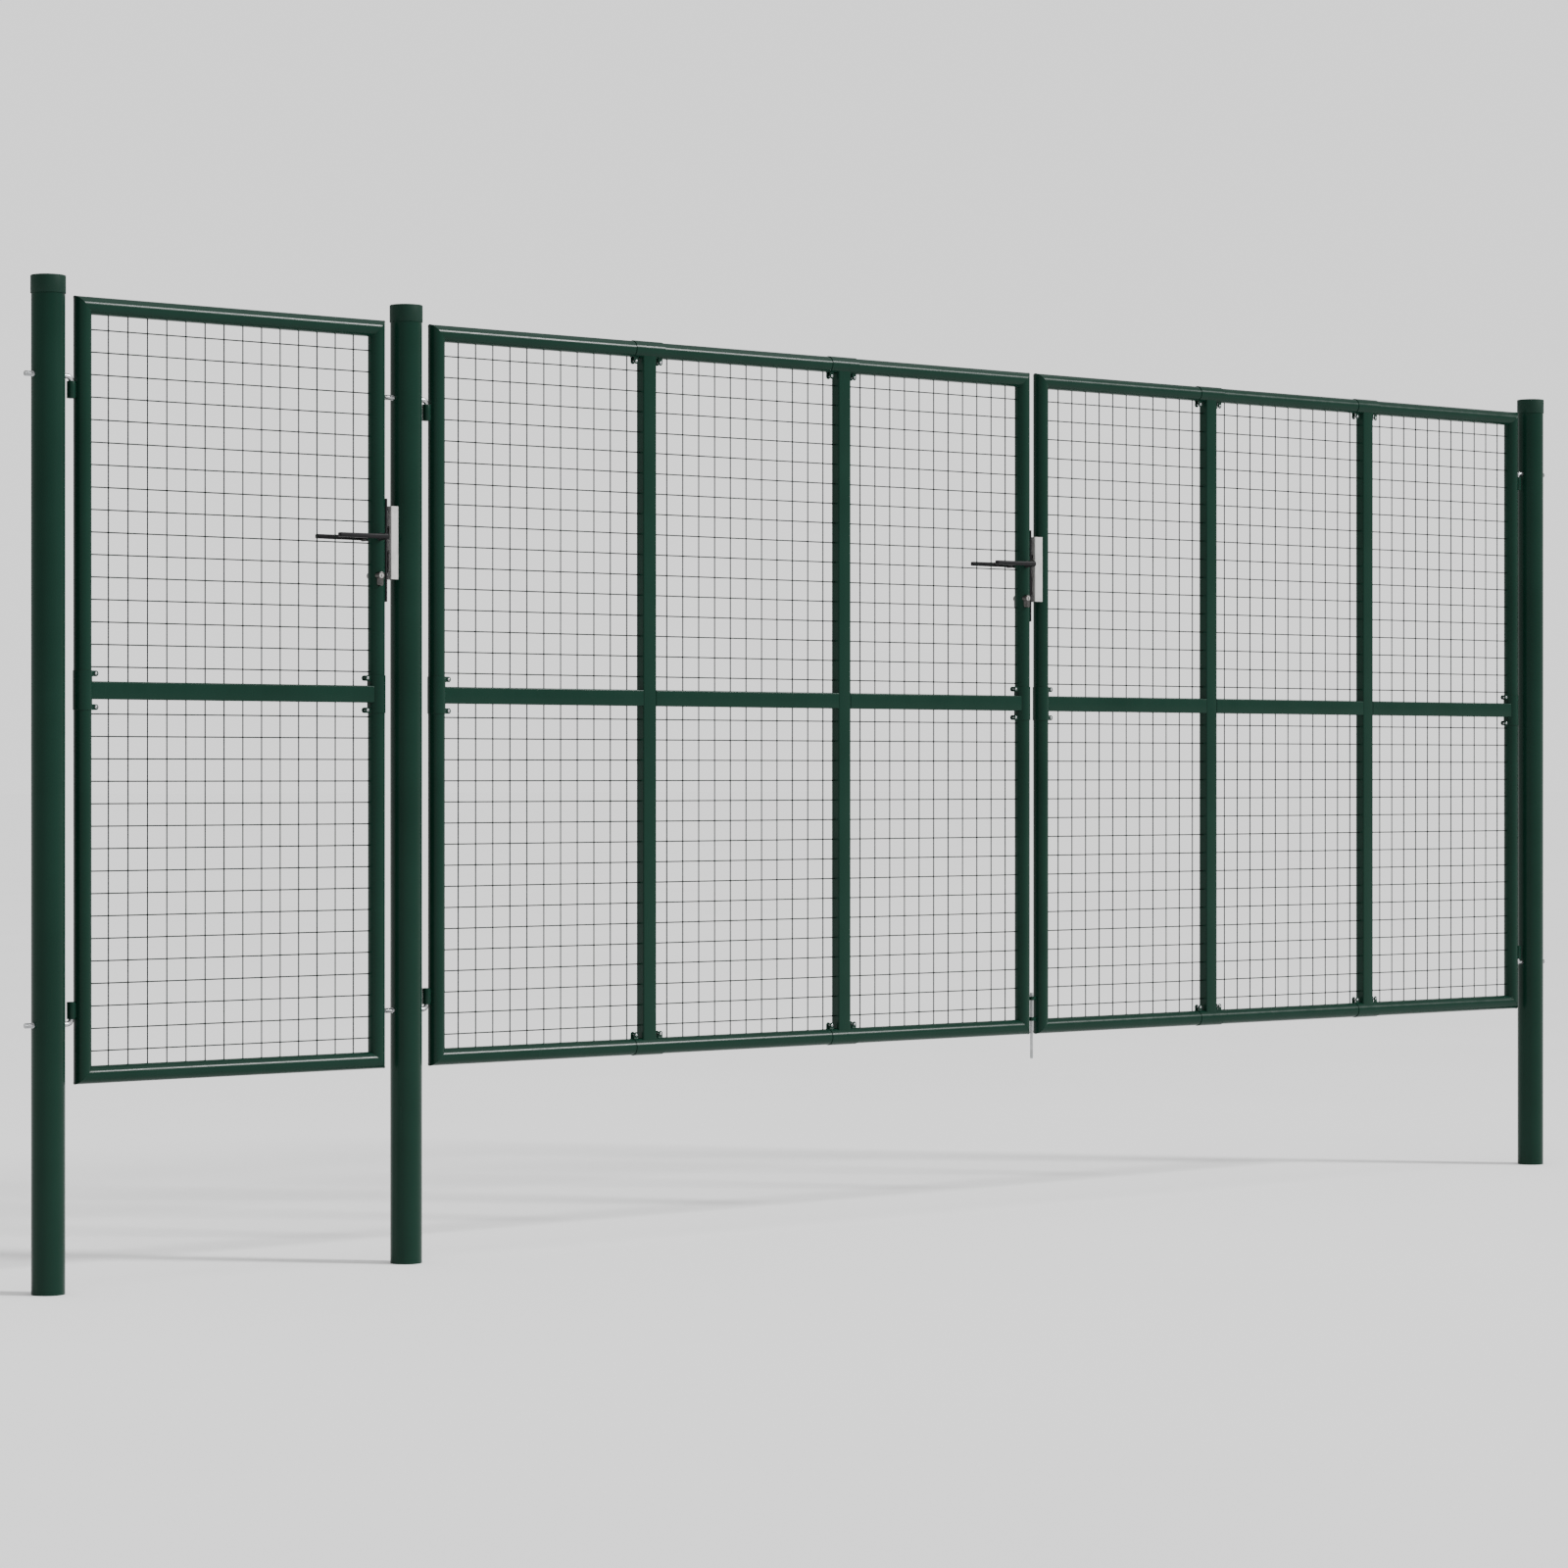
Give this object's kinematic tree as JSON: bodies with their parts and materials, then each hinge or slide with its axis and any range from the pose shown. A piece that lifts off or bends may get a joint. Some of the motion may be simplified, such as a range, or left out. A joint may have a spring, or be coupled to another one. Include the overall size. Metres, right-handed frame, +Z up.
{
  "type": "wire mesh gate",
  "caption": "Gate set of round steel tube and welded wire mesh on round posts: a narrow walk-through leaf beside a double gate, with lever locks, keeps and a drop bolt.",
  "frame": {"origin": "on the ground end of the posts, midway between the outer posts", "axes": "+X along the closed gate from the walk-through leaf to the double gate, +Z up, -Y towards someone in front"},
  "size_m": [5.045, 0.1106, 2.25],
  "materials": {
    "green_paint": "dark green polyester powder coat over galvanised tube",
    "mesh_paint": "dark green coat on welded wire",
    "cap_plastic": "dark green moulded plastic, satin",
    "zinc_plate": "bright zinc plate",
    "stainless": "bent and machined stainless steel",
    "nickel_plate": "satin nickel plate",
    "black_coat": "black powder coat"
  },
  "bodies": {
    "root": {"post_left": "green_paint", "post_middle": "green_paint", "post_right": "green_paint", "post_cap_left": "cap_plastic", "post_cap_middle": "cap_plastic", "post_cap_right": "cap_plastic", "post_keep": "stainless", "hinge_rod_single_lower": "zinc_plate", "hinge_rod_single_upper": "zinc_plate", "hinge_rod_leaf_a_lower": "zinc_plate", "hinge_rod_leaf_a_upper": "zinc_plate", "hinge_rod_leaf_b_lower": "zinc_plate", "hinge_rod_leaf_b_upper": "zinc_plate"},
    "leaf_single": {"single_hinge_stile": "green_paint", "single_free_stile": "green_paint", "single_rail_bottom": "green_paint", "single_rail_top": "green_paint", "single_mid_rail": "green_paint", "single_mesh_lower": "mesh_paint", "single_mesh_upper": "mesh_paint", "single_lock_case": "black_coat", "single_key_cylinder": "nickel_plate"},
    "levers_single": {"single_levers": "black_coat"},
    "latch_single": {"single_latch_bolt": "stainless"},
    "plug_single": {"single_key_plug": "nickel_plate"},
    "dead_bolt_single": {"single_dead_bolt": "stainless"},
    "leaf_a": {"leaf_a_hinge_stile": "green_paint", "leaf_a_free_stile": "green_paint", "leaf_a_rail_bottom": "green_paint", "leaf_a_rail_top": "green_paint", "leaf_a_mid_rail": "green_paint", "leaf_a_mullion_1": "green_paint", "leaf_a_mullion_2": "green_paint", "leaf_a_mesh_lower_1": "mesh_paint", "leaf_a_mesh_lower_2": "mesh_paint", "leaf_a_mesh_lower_3": "mesh_paint", "leaf_a_mesh_upper_1": "mesh_paint", "leaf_a_mesh_upper_2": "mesh_paint", "leaf_a_mesh_upper_3": "mesh_paint", "leaf_a_lock_case": "black_coat", "leaf_a_key_cylinder": "nickel_plate"},
    "levers_a": {"leaf_a_levers": "black_coat"},
    "latch_a": {"leaf_a_latch_bolt": "stainless"},
    "plug_a": {"leaf_a_key_plug": "nickel_plate"},
    "dead_bolt_a": {"leaf_a_dead_bolt": "stainless"},
    "leaf_b": {"leaf_b_hinge_stile": "green_paint", "leaf_b_free_stile": "green_paint", "leaf_b_rail_bottom": "green_paint", "leaf_b_rail_top": "green_paint", "leaf_b_mid_rail": "green_paint", "leaf_b_mullion_1": "green_paint", "leaf_b_mullion_2": "green_paint", "leaf_b_mesh_lower_1": "mesh_paint", "leaf_b_mesh_lower_2": "mesh_paint", "leaf_b_mesh_lower_3": "mesh_paint", "leaf_b_mesh_upper_1": "mesh_paint", "leaf_b_mesh_upper_2": "mesh_paint", "leaf_b_mesh_upper_3": "mesh_paint", "leaf_b_keep": "stainless"},
    "drop_bolt": {"leaf_b_drop_bolt": "zinc_plate"}
  },
  "joints": [
    {"name": "leaf_single_swing", "type": "hinge", "parent": "root", "child": "leaf_single", "pos_m": [-2.4065, 0, 0.46], "axis": [0, 0, 1], "range_deg": [-95, 95]},
    {"name": "leaf_a_swing", "type": "hinge", "parent": "root", "child": "leaf_a", "pos_m": [-1.457, 0, 0.46], "axis": [0, 0, 1], "range_deg": [-95, 95]},
    {"name": "leaf_b_swing", "type": "hinge", "parent": "root", "child": "leaf_b", "pos_m": [2.4065, 0, 0.46], "axis": [0, 0, -1], "range_deg": [-95, 95]},
    {"name": "levers_single_turn", "type": "hinge", "parent": "leaf_single", "child": "levers_single", "pos_m": [-1.603, 0, 1.702], "axis": [0, -1, 0], "range_deg": [0, 40], "stiffness_Nm_per_rad": 1.5, "springref_deg": -20.05},
    {"name": "latch_single_slide", "type": "slide", "parent": "leaf_single", "child": "latch_single", "axis": [1, 0, 0], "range_m": [-0.0055, 0]},
    {"name": "plug_single_turn", "type": "hinge", "parent": "leaf_single", "child": "plug_single", "pos_m": [-1.603, 0, 1.612], "axis": [0, 1, 0], "range_deg": [0, 360]},
    {"name": "dead_bolt_single_slide", "type": "slide", "parent": "leaf_single", "child": "dead_bolt_single", "axis": [1, 0, 0], "range_m": [0, 0.02]},
    {"name": "levers_a_turn", "type": "hinge", "parent": "leaf_a", "child": "levers_a", "pos_m": [0.4365, 0, 1.702], "axis": [0, -1, 0], "range_deg": [0, 40], "stiffness_Nm_per_rad": 1.5, "springref_deg": -20.05},
    {"name": "latch_a_slide", "type": "slide", "parent": "leaf_a", "child": "latch_a", "axis": [1, 0, 0], "range_m": [-0.0055, 0]},
    {"name": "plug_a_turn", "type": "hinge", "parent": "leaf_a", "child": "plug_a", "pos_m": [0.4365, 0, 1.612], "axis": [0, 1, 0], "range_deg": [0, 360]},
    {"name": "dead_bolt_a_slide", "type": "slide", "parent": "leaf_a", "child": "dead_bolt_a", "axis": [1, 0, 0], "range_m": [0, 0.02]},
    {"name": "drop_bolt_lift", "type": "slide", "parent": "leaf_b", "child": "drop_bolt", "axis": [0, 0, 1], "range_m": [0, 0.065]}
  ],
  "couplings": [
    {"joint": "latch_single_slide", "follows": "levers_single_turn", "m_per_rad": -0.007877},
    {"joint": "plug_single_turn", "follows": "dead_bolt_single_slide", "rad_per_m": 314.15},
    {"joint": "latch_a_slide", "follows": "levers_a_turn", "m_per_rad": -0.007877},
    {"joint": "plug_a_turn", "follows": "dead_bolt_a_slide", "rad_per_m": 314.15}
  ]
}
